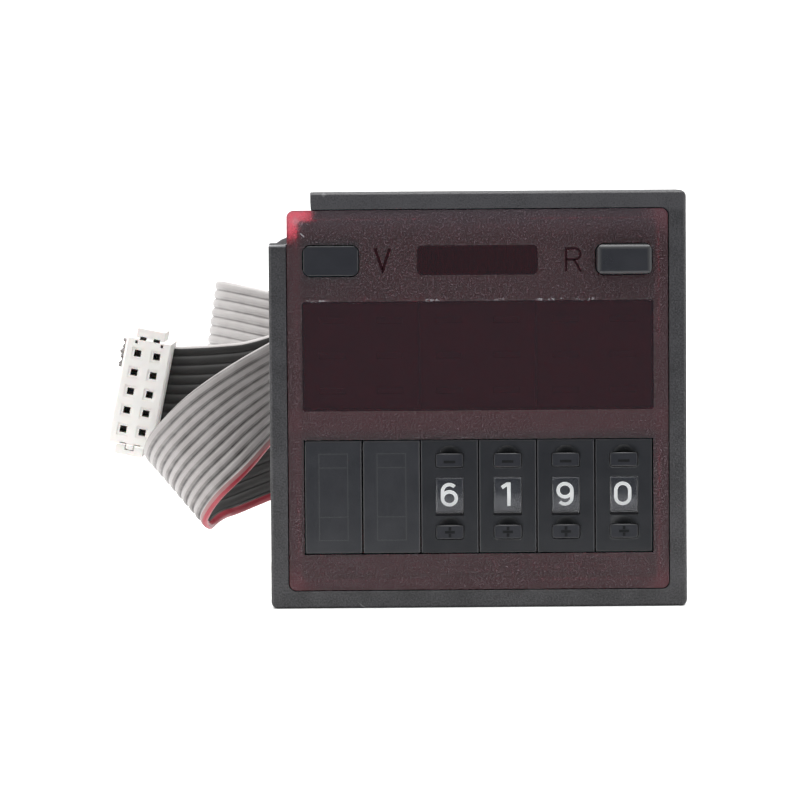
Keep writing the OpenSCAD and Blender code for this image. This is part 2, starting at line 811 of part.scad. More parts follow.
front_frame();
front_window();
housing();
rear_cover();
cover_screws();
blank_key_plug();
blank_cover(1);  // blank_cover_1
blank_cover(2);  // blank_cover_2
reset_key();
reset_plunger();
reset_switch();
front_board();
led_display(1);  // led_display_1
led_display(2);  // led_display_2
led_display(3);  // led_display_3
switch_board();
main_board();
counter_chip();
ribbon_header();
switch_case(1);  // switch_case_1
switch_case(2);  // switch_case_2
switch_case(3);  // switch_case_3
switch_case(4);  // switch_case_4
digit_lens(1);  // digit_lens_1
digit_lens(2);  // digit_lens_2
digit_lens(3);  // digit_lens_3
digit_lens(4);  // digit_lens_4
contact_board(1);  // contact_board_1
contact_board(2);  // contact_board_2
contact_board(3);  // contact_board_3
contact_board(4);  // contact_board_4
digit_wheel(1);  // digit_wheel_1
digit_wheel(2);  // digit_wheel_2
digit_wheel(3);  // digit_wheel_3
digit_wheel(4);  // digit_wheel_4
push_key(1, 1);  // minus_key_1
push_key(2, 1);  // minus_key_2
push_key(3, 1);  // minus_key_3
push_key(4, 1);  // minus_key_4
push_key(1, -1);  // plus_key_1
push_key(2, -1);  // plus_key_2
push_key(3, -1);  // plus_key_3
push_key(4, -1);  // plus_key_4
ribbon_cable();
connector_body();
connector_cap();
connector_contacts();
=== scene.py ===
import math

import bpy
from mathutils import Matrix, Vector


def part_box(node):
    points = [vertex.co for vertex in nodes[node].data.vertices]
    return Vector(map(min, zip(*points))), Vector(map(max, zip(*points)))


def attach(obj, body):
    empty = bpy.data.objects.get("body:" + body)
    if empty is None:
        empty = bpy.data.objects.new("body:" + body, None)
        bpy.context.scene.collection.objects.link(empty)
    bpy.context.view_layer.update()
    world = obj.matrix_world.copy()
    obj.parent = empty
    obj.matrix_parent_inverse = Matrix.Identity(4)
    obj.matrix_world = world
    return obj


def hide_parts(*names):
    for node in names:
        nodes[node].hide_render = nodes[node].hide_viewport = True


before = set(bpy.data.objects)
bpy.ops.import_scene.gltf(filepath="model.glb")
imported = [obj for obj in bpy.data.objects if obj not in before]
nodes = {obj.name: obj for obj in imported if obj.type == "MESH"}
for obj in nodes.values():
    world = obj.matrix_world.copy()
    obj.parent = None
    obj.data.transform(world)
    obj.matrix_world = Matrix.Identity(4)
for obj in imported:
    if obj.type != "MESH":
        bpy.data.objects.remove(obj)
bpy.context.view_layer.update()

MM = 0.001

# Housing. A square box of black moulded plastic behind the panel, open at the
# back, with clamp racks on its top and underside. The front parts are pushed
# onto its nose, and the main board slides into the rails on its inner walls.


class Wire:
    """A socket of a material, so that its sums are written as Python sums."""

    def __init__(self, tree, out=None):
        self.tree = tree
        self.out = out

    def node(self, kind, settings, sockets, out=0):
        """A new node, from its settings and the values or links of its sockets."""
        made = self.tree.nodes.new(kind)
        for key, value in settings.items():
            setattr(made, key, value)
        for key, value in sockets.items():
            if isinstance(value, Wire):
                self.tree.links.new(value.out, made.inputs[key])
            else:
                made.inputs[key].default_value = (*value, 1) if isinstance(value, tuple) else value
        return Wire(self.tree, made.outputs[out])

    def math(self, operation, *values):
        return self.node("ShaderNodeMath", {"operation": operation}, dict(enumerate(values)))

    def __add__(self, other):
        return self.math("ADD", self, other)

    __radd__ = __add__

    def __sub__(self, other):
        return self.math("SUBTRACT", self, other)

    def __rsub__(self, other):
        return self.math("SUBTRACT", other, self)

    def __mul__(self, other):
        return self.math("MULTIPLY", self, other)

    __rmul__ = __mul__

    def __truediv__(self, other):
        return self.math("DIVIDE", self, other)

    def __abs__(self):
        return self.math("ABSOLUTE", self)

    def above(self, low, high):
        """0 below low and 1 over high, with a smooth step between."""
        return self.node(
            "ShaderNodeMapRange",
            {"interpolation_type": "SMOOTHSTEP"},
            {"Value": self, "From Min": low, "From Max": high},
        )

    def mix(self, a, b):
        """Colour a where this is 0, colour b where it is 1."""
        factor, colour_a, colour_b, colour_out = 0, 6, 7, 2
        sockets = {factor: self, colour_a: a, colour_b: b}
        return self.node("ShaderNodeMix", {"data_type": "RGBA"}, sockets, colour_out)

    def axis(self, name):
        return self.node("ShaderNodeSeparateXYZ", {}, {"Vector": self}, name)

    def noise(self, size, detail=2.0, rough=0.5):
        """A cloudy value whose spots are about size metres wide."""
        return self.node(
            "ShaderNodeTexNoise", {},
            {"Vector": self, "Scale": 1 / size, "Detail": detail, "Roughness": rough},
        )

    def bump(self, depth):
        """A normal from this height, where a step of 1 is depth metres."""
        return self.node("ShaderNodeBump", {}, {"Height": self, "Distance": depth})


def start_material(name, **constants):
    """A new material, its shader, and the place on the object as a wire."""
    made = bpy.data.materials.new(name)
    made.use_nodes = True
    shader = made.node_tree.nodes["Principled BSDF"]
    for key, value in constants.items():
        key = key.replace("_", " ")
        shader.inputs[key].default_value = (*value, 1) if isinstance(value, tuple) else value
    at = Wire(made.node_tree).node("ShaderNodeTexCoord", {}, {}, "Object")
    return made, shader, at


def feed(shader, **wires):
    """Leads what changes over the surface to the shader's sockets."""
    for key, wire in wires.items():
        wire.tree.links.new(wire.out, shader.inputs[key.replace("_", " ")])


def painted_edge_highlight(at):
    """1 on roundings between a front and its sides, where a lighter colour is painted on as a highlight.
    """
    facing = abs(at.node("ShaderNodeNewGeometry", {}, {}, "Normal").axis("Y"))
    return facing.above(0.1, 0.4) * (1 - facing.above(0.8, 0.97))


def grained(at, grain, dark, light):
    """A faint cloudiness, the fine grain of the tool, and the colour they give."""
    cloud = at.noise(3 * MM, detail=3.0)
    speck = at.noise(grain, rough=0.6)
    return cloud, speck, (cloud * 0.5 + speck * 0.5).above(0.3, 0.7).mix(dark, light)


def moulded(name, dark, light, rough, grain, depth, highlight_rim=None):
    """Moulded plastic, with a grain of that depth and perhaps a painted highlight on its rounded rim."""
    made, shader, at = start_material(name)
    cloud, speck, plain = grained(at, grain, dark, light)
    spread = 0.12
    feed(
        shader,
        Base_Color=painted_edge_highlight(at).mix(plain, highlight_rim) if highlight_rim else plain,
        Roughness=rough - spread / 2 + cloud * spread,
        Normal=speck.bump(depth),
    )
    return made


def modify(part, kind, **settings):
    """Adds a modifier with these settings."""
    made = part.modifiers.new(kind.lower(), kind)
    for key, value in settings.items():
        setattr(made, key, value)


def dress(node, material, edge=0.0):
    """Gives a CAD node its finish, and breaks its sharp edges by edge metres."""
    part = nodes[node]
    for place in part.material_slots:
        place.material = material
    if edge:
        modify(part, "WELD", merge_threshold=0.002 * MM)
        modify(part, "DECIMATE", decimate_type="DISSOLVE", angle_limit=math.radians(0.8))
        modify(part, "BEVEL", width=edge, segments=2, limit_method="ANGLE", angle_limit=math.radians(40))
        modify(part, "WEIGHTED_NORMAL", keep_sharp=False)


housing_black = moulded(
    "housing_black", dark=(0.016, 0.016, 0.017), light=(0.026, 0.026, 0.028),
    rough=0.5, grain=0.12 * MM, depth=0.004 * MM,
)
dress("housing", housing_black, edge=0.12 * MM)

# Rear cover. A flat lid of the same plastic with vents and a slot for the ribbon,
# held by four zinc-plated screws in the housing's corner posts.

dress("rear_cover", housing_black, edge=0.12 * MM)

zinc, shader, at = start_material("screw_zinc", Metallic=1.0)
turned = at.noise(0.25 * MM, detail=3.0)
feed(
    shader,
    Base_Color=turned.mix((0.5, 0.5, 0.49), (0.66, 0.66, 0.63)),
    Roughness=0.25 + turned * 0.25,
)
dress("cover_screws", zinc, edge=0.06 * MM)

# Boards. Green glass-fibre boards with copper tracks under the lacquer. The main
# board lies in the housing's rails with the counter chip, the others stand across
# the housing and carry the display, the reset switch and the digit switches.

board_green, shader, at = start_material("board_green", Coat_Weight=0.4)
weave = at.noise(0.4 * MM, detail=1.0)
lanes = {"Vector": at, "Scale": 320.0, "Distortion": 3.0, "Detail": 1.0}
track = at.node("ShaderNodeTexWave", {}, lanes, "Fac").above(0.6, 0.75)
feed(
    shader,
    Base_Color=track.mix((0.009, 0.05, 0.022), (0.014, 0.1, 0.04)),
    Roughness=0.4 + weave * 0.1,
    Normal=track.bump(0.03 * MM),
)
for name in ("front_board", "switch_board", "main_board", *(f"contact_board_{i}" for i in range(1, 5))):
    dress(name, board_green)

chip_black = moulded(
    "chip_black", dark=(0.008, 0.008, 0.009), light=(0.014, 0.014, 0.015),
    rough=0.45, grain=0.2 * MM, depth=0.003 * MM,
)
for name in ("counter_chip", "reset_switch", "reset_plunger"):
    dress(name, chip_black, edge=0.05 * MM)

display_black = moulded(
    "display_black", dark=(0.003, 0.003, 0.003), light=(0.005, 0.004, 0.004),
    rough=0.6, grain=0.3 * MM, depth=0.002 * MM,
)
for i in (1, 2, 3):
    dress(f"led_display_{i}", display_black, edge=0.08 * MM)

# Digit switches. Each is a narrow case of smooth dark grey plastic with a clear
# window, a minus key above it, a plus key below it, and a wheel of ten figures
# behind. The cases stand side by side in the window's lower opening.

# the keys get a lighter rim colour, a painted highlight on their rounded edges
key_grey = moulded(
    "key_grey", dark=(0.006, 0.0065, 0.0085), light=(0.011, 0.0115, 0.0145),
    rough=0.3, grain=0.08 * MM, depth=0.0015 * MM, highlight_rim=(0.09, 0.091, 0.094),
)
wheel_grey = moulded(
    "wheel_grey", dark=(0.01, 0.01, 0.011), light=(0.016, 0.016, 0.017),
    rough=0.5, grain=0.15 * MM, depth=0.002 * MM,
)


def cover(at, amount, colour):
    """Lays a dull colour by amount over what the surface shows so far."""
    surface = at.tree.nodes["Material Output"].inputs["Surface"]
    under = Wire(at.tree, surface.links[0].from_socket)
    dull = at.node("ShaderNodeBsdfDiffuse", {}, {"Color": colour})
    over = at.node("ShaderNodeMixShader", {}, {0: amount, 1: under, 2: dull})
    at.tree.links.new(over.out, surface)


def case_finish(name, x, z):
    """Smooth dark grey, painted shade in the finger dishes over the two keys, painted edge highlights.
    """
    made, shader, at = start_material(name, Specular_IOR_Level=0.4)
    cloud, speck, plain = grained(at, 0.08 * MM, (0.006, 0.0065, 0.0075), (0.011, 0.0115, 0.013))
    dish_x, dish_half_w, dish_half_h = x + 0.1, 1.95, 1.35
    across = (at.axis("X") / MM - dish_x) / dish_half_w
    shade, highlight_rim = 0, painted_edge_highlight(at)
    for dish_z in (z + 4.8, z - 3.5):
        rise = (at.axis("Z") / MM - dish_z) / dish_half_h
        away = across * across + rise * rise
        shade = shade + (1 - away.above(0.1, 1.0)) * 0.95
        highlight_rim = highlight_rim * away.above(1.2, 1.6)
    feed(
        shader,
        Base_Color=highlight_rim.mix(plain, (0.06, 0.061, 0.064)),
        Roughness=0.26 + cloud * 0.12,
        Normal=speck.bump(0.0012 * MM),
    )
    # painted shade over the finger dishes
    cover(at, shade, (0.005, 0.0055, 0.006))
    return made


def lens_finish(name, x, z):
    """Clear plastic: painted light in the lower half, painted edge highlights, a painted shadow on the
    lower rim.
    """
    made, shader, at = start_material(
        name, Base_Color=(0.97, 0.98, 0.98), Transmission_Weight=1.0, IOR=1.03, Coat_Roughness=0.08
    )
    rubbed = at.noise(0.6 * MM).above(0.4, 0.8)
    feed(shader, Roughness=0.02 + rubbed * 0.04, Coat_Weight=0.8 + rubbed * 0.2)
    across, up = abs(at.axis("X") / MM - x), at.axis("Z") / MM - z
    # painted light, lighter towards the bottom, as light falls on the wheel behind
    painted_lower_light = (1 - up.above(-0.7, 0.5)) * (0.065 + rubbed * 0.025)
    side_edge_highlights, top_edge_highlight = across.above(1.4, 1.46), up.above(1.98, 2.04)
    # painted shadow under the lower edge, which also hides the next figure on the wheel
    painted_lower_shadow = 1 - up.above(-1.96, -1.86)
    cover(at, painted_lower_light + side_edge_highlights * 0.045 + top_edge_highlight * 0.08, (0.6, 0.6, 0.62))
    cover(at, painted_lower_shadow, (0.012, 0.012, 0.013))
    return made


# the white figures glow a little, painted light that makes them brighter than paint
figure_white_glow, shader, at = start_material(
    "figure_white_glow", Emission_Color=(1.0, 1.0, 0.98), Emission_Strength=0.4
)
ink = at.noise(0.2 * MM)
feed(shader, Base_Color=ink.mix((0.88, 0.89, 0.88), (0.95, 0.95, 0.94)), Roughness=0.5 + ink * 0.15)

mark_dark, shader, at = start_material("mark_dark", Specular_IOR_Level=0.0)
ink = at.noise(0.3 * MM)
feed(
    shader,
    Base_Color=ink.mix((0.012, 0.0125, 0.013), (0.016, 0.0165, 0.017)),
    Roughness=0.6 + ink * 0.1,
)


def put(name, data):
    """A new object with that data in the scene."""
    made = bpy.data.objects.new(name, data)
    bpy.context.scene.collection.objects.link(made)
    return made


def add_piece(name, verts, faces, materials, body):
    """A new mesh piece from points in millimetres, riding on a CAD body."""
    mesh = bpy.data.meshes.new(name)
    mesh.from_pydata([Vector(v) * MM for v in verts], [], faces)
    mesh.validate()
    made = put(name, mesh)
    for material in materials:
        mesh.materials.append(material)
    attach(made, body)
    return made


def box_mm(node):
    """The low and the high corner of a CAD node, in millimetres."""
    return [Vector(corner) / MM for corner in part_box(node)]


def arc(cx, cz, rx, rz, start, end, steps=18):
    """Points of an ellipse from one angle to another, in degrees."""
    turns = [math.radians(start + (end - start) * k / steps) for k in range(steps + 1)]
    return [(cx + rx * math.cos(a), cz + rz * math.sin(a)) for a in turns]


def stroke(line, width, closed):
    """Left and right points along a pen line of that width."""
    count = len(line)
    bluntest = 0.5
    left, right = [], []
    for k, (x, z) in enumerate(line):
        before = line[k - 1] if k or closed else line[k]
        after = line[(k + 1) % count] if k < count - 1 or closed else line[k]
        one = Vector((x - before[0], z - before[1]))
        two = Vector((after[0] - x, after[1] - z))
        one = one.normalized() if one.length else two.normalized()
        two = two.normalized() if two.length else one
        side = Vector((-(one.y + two.y), one.x + two.x)).normalized()
        reach = width / 2 / max(bluntest, side.dot(Vector((-one.y, one.x))))
        left.append((x + side.x * reach, z + side.y * reach))
        right.append((x - side.x * reach, z - side.y * reach))
    return left, right


def divide(line, reach):
    """The same pen line with points no further apart than reach."""
    dense = [line[0]]
    for (ax, az), (bx, bz) in zip(line, line[1:]):
        steps = max(1, math.ceil(math.hypot(bx - ax, bz - az) / reach))
        dense += [(ax + (bx - ax) * k / steps, az + (bz - az) * k / steps) for k in range(1, steps + 1)]
    return dense


def raise_strokes(strokes, pen, lay, top, base=-0.03, reach=0.25):
    """Pen lines as bars between two heights, laid by lay(x, z, height)."""
    verts, faces = [], []
    for line, closed in strokes:
        line = divide(line, reach)
        left, right = stroke(line, pen, closed)
        first = len(verts)
        for (ax, az), (bx, bz) in zip(left, right):
            verts += [lay(ax, az, base), lay(ax, az, top), lay(bx, bz, top), lay(bx, bz, base)]
        count = len(line)
        for k in range(count if closed else count - 1):
            a = first + 4 * k
            b = first + 4 * ((k + 1) % count)
            faces += [(a + j, b + j, b + (j + 1) % 4, a + (j + 1) % 4) for j in range(4)]
        if not closed:
            end = first + 4 * (count - 1)
            faces += [(first, first + 1, first + 2, first + 3), (end + 3, end + 2, end + 1, end)]
    return verts, faces


def on_rim(middle, radius, turn):
    """Lays pen lines round a wheel's rim, an angle away from its front."""

    def lay(x, z, height):
        a = z / radius + turn
        reach = radius + height
        return middle.x + x, middle.y - reach * math.cos(a), middle.z + reach * math.sin(a)

    return lay


def on_front(x, front, z):
    """Lays pen lines on a flat front about the point x, z."""
    return lambda u, v, height: (x + u, front - height, z + v)


# pen lines of the ten figures, in millimetres about the figure's centre, and
# whether each line closes
FIGURES = {
    0: [(arc(0, 0.38, 0.81, 0.8, 0, 180, 12) + arc(0, -0.38, 0.81, 0.8, 180, 360, 12), True)],
    1: [([(-0.62, 0.78), (-0.02, 1.17), (0.2, 1.17), (0.2, -1.37)], False)],
    2: [(arc(0, 0.46, 0.78, 0.72, 165, -38) + [(-0.76, -1.17), (0.86, -1.17)], False)],
    3: [(arc(-0.06, 0.6, 0.7, 0.58, 150, -90) + arc(-0.06, -0.58, 0.82, 0.6, 90, -150)[1:], False)],
    4: [([(0.95, -0.58), (-0.86, -0.58), (0.32, 1.28)], False), ([(0.42, 0.28), (0.42, -1.37)], False)],
    5: [([(0.75, 1.17), (-0.58, 1.17), (-0.68, 0.06)] + arc(0, -0.44, 0.8, 0.74, 128, -150), False)],
    6: [
        (arc(0, -0.42, 0.8, 0.76, 0, 345, 23), True),
        ([(-0.8, -0.42), (-0.8, 0.36)] + arc(0, 0.36, 0.8, 0.82, 180, 42, 14)[1:], False),
    ],
    7: [([(-0.86, 1.17), (0.78, 1.17), (-0.3, -1.37)], False)],
    8: [(arc(0, 0.62, 0.68, 0.56, 0, 345, 23), True), (arc(0, -0.56, 0.82, 0.62, 0, 345, 23), True)],
    9: [
        (arc(0, 0.42, 0.8, 0.76, 0, 345, 23), True),
        ([(0.8, 0.42), (0.8, -0.36)] + arc(0, -0.36, 0.8, 0.82, 0, -138, 14)[1:], False),
    ],
}
# each sign's height over the window's middle, and its pen lines
SIGNS = {
    "minus": (4.15, [[(-0.66, -0.16), (0.66, -0.16)]]),
    "plus": (-4.15, [[(-0.58, 0), (0.58, 0)], [(0, 0.19), (0, 0.6)], [(0, -0.6), (0, -0.19)]]),
}
# the figure that each wheel shows at rest
SHOWN = {1: 6, 2: 1, 3: 9, 4: 0}
FIGURE_PEN, SIGN_PEN = 0.4, 0.3

for i, shown in SHOWN.items():
    low, high = box_mm(f"digit_lens_{i}")
    x, z = (low.x + high.x) / 2, (low.z + high.z) / 2
    dress(f"switch_case_{i}", case_finish(f"case_grey_{i}", x, z), edge=0.13 * MM)
    dress(f"digit_lens_{i}", lens_finish(f"clear_window_{i}", x, z))
    dress(f"digit_wheel_{i}", wheel_grey)
    low, high = box_mm(f"digit_wheel_{i}")
    middle, radius = (low + high) / 2, (high.z - low.z) / 2
    verts, faces = [], []
    for figure, lines in FIGURES.items():
        turn = math.radians(360 / len(FIGURES) * ((figure - shown) % len(FIGURES)))
        more, sides = raise_strokes(lines, FIGURE_PEN, on_rim(middle, radius, turn), top=0.03)
        faces += [tuple(len(verts) + k for k in side) for side in sides]
        verts += more
    add_piece(f"figures_{i}", verts, faces, [figure_white_glow], f"wheel_{i}")
    for sign, (rise, lines) in SIGNS.items():
        key = f"{sign}_key_{i}"
        dress(key, key_grey)
        lay = on_front(x, box_mm(key)[0].y, z + rise)
        verts, faces = raise_strokes([(line, False) for line in lines], SIGN_PEN, lay, top=0.02)
        add_piece(f"{sign}_sign_{i}", verts, faces, [mark_dark], f"{sign}_{i}")

# Blank covers. Two bays hold plain covers of the same grey plastic, with faint
# lines where the mould's inserts for a switch's keys and window would be.

# the covers get a lighter rim colour, a painted highlight on their rounded edges
bay_grey = moulded(
    "bay_grey", dark=(0.009, 0.0095, 0.011), light=(0.015, 0.0155, 0.018),
    rough=0.32, grain=0.08 * MM, depth=0.0012 * MM, highlight_rim=(0.06, 0.061, 0.064),
)
line_grey, shader, at = start_material("witness_line")
feed(
    shader,
    Base_Color=at.noise(0.4 * MM).mix((0.022, 0.024, 0.025), (0.028, 0.03, 0.031)),
    Roughness=0.45 + at.noise(0.5 * MM) * 0.1,
)
half_w, half_h, upper_z, lower_z = 1.65, 5.0, 3.4, -2.3
witness_lines = [
    ([(-half_w, half_h), (half_w, half_h), (half_w, -half_h), (-half_w, -half_h)], True),
    ([(-half_w, upper_z), (half_w, upper_z)], False),
    ([(-half_w, lower_z), (half_w, lower_z)], False),
]
for i in (1, 2):
    dress(f"blank_cover_{i}", bay_grey, edge=0.13 * MM)
    low, high = box_mm(f"blank_cover_{i}")
    lay = on_front((low.x + high.x) / 2, low.y, (low.z + high.z) / 2)
    verts, faces = raise_strokes(witness_lines, 0.09, lay, top=0.012)
    add_piece(f"witness_lines_{i}", verts, faces, [line_grey], "counter")

# Key row. A smooth plug is pushed into the left key hole, and the reset key in
# the right one rests on the plunger of its switch. Both are black moulded
# plastic with rounded edges.

# the plug and the reset key get lighter rim colours, painted highlights on their rounded edges
plug_black = moulded(
    "plug_black", dark=(0.006, 0.0065, 0.0085), light=(0.011, 0.0115, 0.0145),
    rough=0.3, grain=0.08 * MM, depth=0.0015 * MM, highlight_rim=(0.05, 0.051, 0.054),
)
dress("blank_key_plug", plug_black)
reset_black = moulded(
    "reset_black", dark=(0.009, 0.0095, 0.0115), light=(0.014, 0.0145, 0.0175),
    rough=0.3, grain=0.08 * MM, depth=0.0015 * MM, highlight_rim=(0.032, 0.033, 0.035),
)
dress("reset_key", reset_black)

# Window. A plate of dark red see-through plastic fills the frame. Its front has a
# fine matte grain, with polished fields over the display and for the legend, and
# it shows specks and scratches from use.


def spot(at, x, z, core, reach):
    """1 in a small worn spot on the front, 0 beyond its reach."""
    away = abs(at.axis("X") / MM - x) + abs(at.axis("Z") / MM - z)
    return 1 - away.above(core, reach)


low, high = box_mm("front_window")
front, half = low.y, high.x
window_red, shader, at = start_material(
    "window_red", Transmission_Weight=1.0, IOR=1.42, Emission_Strength=1.0
)
across, deep, up = (at.axis(name) / MM for name in "XYZ")
polished = deep.above(front + 0.06, front + 0.12)
grain = at.noise(0.2 * MM, rough=0.6)
# painted shade: the plate's cut walls are covered dark
painted_wall_shade = 1 - abs(at.node("ShaderNodeNewGeometry", {}, {}, "True Normal").axis("Y")).above(0.3, 0.6)

# painted red glow in the plate's corners, along its margins and under the display, standing in for light
# passing through the plate
corners = (abs(across) + abs(up)).above(2 * half - 4.2, 2 * half - 1.2)
sides = abs(across).above(half - 1.8, half - 1.3)
foot = (0 - up).above(half - 1.9, half - 0.6)
band_z, band_half = -2.3, 1.0
band = 1 - abs(up - band_z).above(band_half, band_half + 0.6)
painted_glow = (corners * 0.5 + sides * 0.33 + foot * 0.35 + band * 0.2) * (1 - polished)

# painted pale sheen on the grain, stronger at the top, where light falls from above, and over the
# display
top = up.above(half - 3.6, half - 0.3)
display_field = polished * (1 - up.above(12, 13))
painted_sheen = (grain.above(0.48, 0.66) + top * 0.3) * (1 - polished) + display_field * 0.06

# dust, most of it on the ridge over the display, and wear by the bare corner
ridge_z = 11.5
ridge = (1 - abs(up - ridge_z).above(0.08, 0.3)) * at.noise(4 * MM, detail=1.0).above(0.42, 0.58)
dust = at.noise(0.3 * MM, detail=3.0, rough=0.7).above(0.7 - ridge * 0.2, 0.78 - ridge * 0.2)
smudge = spot(at, x=-20.9, z=20.7, core=0.2, reach=0.8)
scuff = spot(at, x=-21.4, z=21.4, core=1.0, reach=3.4)
scratch_x, scratch_z = -20.1, 19.1
slant = (across - scratch_x) + (up - scratch_z)
run = (across - scratch_x) - (up - scratch_z)
scratch = (1 - abs(slant).above(0.05, 0.12)) * (1 - abs(run).above(0.35, 0.5))

feed(
    shader,
    Base_Color=at.noise(4 * MM).mix((0.52, 0.018, 0.045), (0.62, 0.026, 0.06)),
    Roughness=0.46 - polished * 0.4 + grain * 0.06,
    Normal=((1 - polished) * grain).bump(0.12 * MM),
    Emission_Color=painted_glow.mix((0, 0, 0), (0.055, 0.008, 0.011)),
)
cover(at, painted_sheen * 0.14, (0.55, 0.36, 0.43))
wear = dust * (0.3 + ridge * 0.15) + scratch * 0.6 + smudge * 0.16 + scuff * 0.1
cover(at, wear, (0.5, 0.47, 0.49))
# painted shade on the cut walls
cover(at, painted_wall_shade, (0.006, 0.004, 0.005))
dress("front_window", window_red)

letter_red, shader, at = start_material("letter_red", Specular_IOR_Level=0.2)
shine = at.noise(0.8 * MM)
feed(
    shader,
    Base_Color=shine.mix((0.012, 0.001, 0.002), (0.018, 0.0015, 0.003)),
    Roughness=0.1 + shine * 0.08,
)
key_row = sum(corner.z for corner in box_mm("blank_key_plug")) / 2
# each letter's place across, its pen and its pen lines
LETTERS = {
    "V": (-10.9, 0.32, [([(-0.85, 1.42), (0, -1.2), (0.85, 1.42)], False)]),
    "R": (
        11.0, 0.25,
        [
            ([(-0.8, -1.42), (-0.8, 1.25), (0.15, 1.25)] + arc(0.15, 0.62, 0.7, 0.63, 80, -80, 10)
             + [(-0.8, 0.0)], False),
            ([(0.1, 0.0), (0.9, -1.42)], False),
        ],
    ),
}
for letter, (x, pen, lines) in LETTERS.items():
    verts, faces = raise_strokes(lines, pen, on_front(x, front, key_row), top=0.008)
    add_piece(f"key_letter_{letter}", verts, faces, [letter_red], "counter")

# Front frame. A thin square ring of black grained plastic round the window, which
# seats on the panel. Its top left corner has broken away and left rough ends.

frame_black, shader, at = start_material("frame_black")
across, up = at.axis("X") / MM, at.axis("Z") / MM
cloud = at.noise(3 * MM, detail=3.0)
grain = at.noise(0.2 * MM, rough=0.6)
# painted light: the top bar is made lighter, as light from above falls on it
painted_top_light = up.above(21.4, 22.2)
plain = (cloud * 0.3 + grain * 0.7 + painted_top_light * 0.1).above(0.34, 0.66)
gouge_x, gouge_z = -13.4, -23.8
gouge = abs(across - gouge_x + (up - gouge_z) * 1.2) * 3 + abs(up - gouge_z)
nicks = spot(at, x=-17.6, z=23.7, core=0.15, reach=0.4) + (1 - gouge.above(0.3, 0.6))
chips = at.noise(0.5 * MM, rough=0.6).above(0.76, 0.8) + nicks * 0.5
# the torn ends are pale, partly the broken plastic's own colour and partly painted light in their shaded
# recess
torn = up.above(17.7, 17.8) * (1 - across.above(-20.9, -20.8))
whole = chips.mix(plain.mix((0.004, 0.004, 0.0045), (0.036, 0.035, 0.038)), (0.16, 0.16, 0.16))
feed(
    shader,
    Base_Color=torn.mix(whole, (0.17, 0.17, 0.175)),
    Roughness=0.46 + cloud * 0.12 + torn * 0.2,
    Normal=grain.bump(0.07 * MM),
)
dress("front_frame", frame_black, edge=0.15 * MM)

# Ribbon lead. A flat cable of ten conductors in vinyl, grey on one side and near
# black on the other, its lower edge wire red. It leaves the rear cover, folds
# back and forth behind the housing and ends in the connector.

# x, y and z in millimetres, then how far the ribbon leans sideways and back, in degrees
ROUTE = [
    (8, 42, -2, 0, 0), (8, 54, -2, 0, 0), (8, 68, -2, 0, 0), (8, 82, -2, 0, 0),
    (7, 93, -2, -2, 0), (2, 101, -1.6, -5, 0), (-8, 105, -0.7, -7, 0), (-20, 105.5, 1.1, -8.5, 0),
    (-29, 104.5, 2.8, -8.5, 0), (-33.6, 102, 4, -8.5, 0), (-35.2, 98, 4.5, -8.5, 0),
    (-33.6, 94, 4.4, -8.5, 0), (-28.7, 92, 3.4, -9, 0), (-20, 91.5, 1.4, -10, 0),
    (-11, 90.5, -0.7, -8, 0), (-4.5, 87, -2.7, 0, 0), (-2.5, 81.5, -4.3, 6, 0), (-5, 76, -6, 11, 0),
    (-12, 73.8, -7.4, 15, 0), (-20, 73.2, -9.4, 19, 0), (-28, 72.6, -12, 24, 0),
    (-34.8, 70.4, -14.7, 36, 10), (-37.6, 65.2, -16, 43, 22), (-38, 59.2, -15.9, 42, 22),
    (-38.2, 53.6, -14.4, 42, 14), (-36.9, 49.6, -12, 43, 10), (-34.5, 47.8, -9.4, 43, 6),
    (-29.6, 48.6, -4.9, 41, -22), (-24, 51, -0.8, 37, -38), (-18, 53.6, 2.9, 31, -39),
    (-13.5, 55.6, 4.6, 25, -28), (-11.2, 57.4, 5.4, 22, -12), (-10.4, 60, 5.5, 20, 0),
    (-11.2, 63.6, 4.9, 18, 0), (-13.5, 66.2, 4, 16, 0), (-18, 67.6, 1.5, 12, 0),
    (-23, 67.6, -1.1, 7, 0), (-28.2, 66.8, -2.6, 2, 0), (-32.2, 65.8, -3, -3, 0),
    (-36.3, 65.5, -3.2, -8, 0), (-39.3, 65.5, -3.2, -10, 0), (-43.1, 65.5, -2.7, -11.5, 0),
    (-46, 65.5, -2.1, -11.5, 0),
]
WAYS, PITCH = 10, 1.27
PER_WAY = 8
# the groove finish and, on the light side, the flank finish are painted shade between the wires; the
# flank grey also colours the cut end
GREY, BLACK, RED, DARK_RED, GROOVE_SHADE, BLUSH, FLANK = range(7)


def smooth_route(route, steps):
    """Points on a smooth curve through the route's points."""
    ends = [[2 * a - b for a, b in zip(route[0], route[1])], *route,
            [2 * a - b for a, b in zip(route[-1], route[-2])]]
    line = []
    for a, b, c, d in zip(ends, ends[1:], ends[2:], ends[3:]):
        for k in range(steps):
            t = k / steps
            line.append([
                (2 * q + (r - p) * t + (2 * p - 5 * q + 4 * r - s) * t**2
                 + (3 * q - p - 3 * r + s) * t**3) / 2
                for p, q, r, s in zip(a, b, c, d)
            ])
    return line + [list(route[-1])]


def half_thickness(s):
    """Half the ribbon's thickness at s across it, full over a wire and thin between."""
    wire, web = 0.44, 0.97
    from_wire = abs((s / PITCH) % 1 - 0.5) * 2
    return wire * math.sqrt(1 - (web * from_wire) ** 2)


def ragged(s):
    """How far the cut end stands out of the connector at s across the ribbon."""
    return 0.85 + 0.14 * math.sin(3.1 * s) + 0.1 * math.sin(8.3 * s + 1) + 0.06 * math.sin(17 * s)


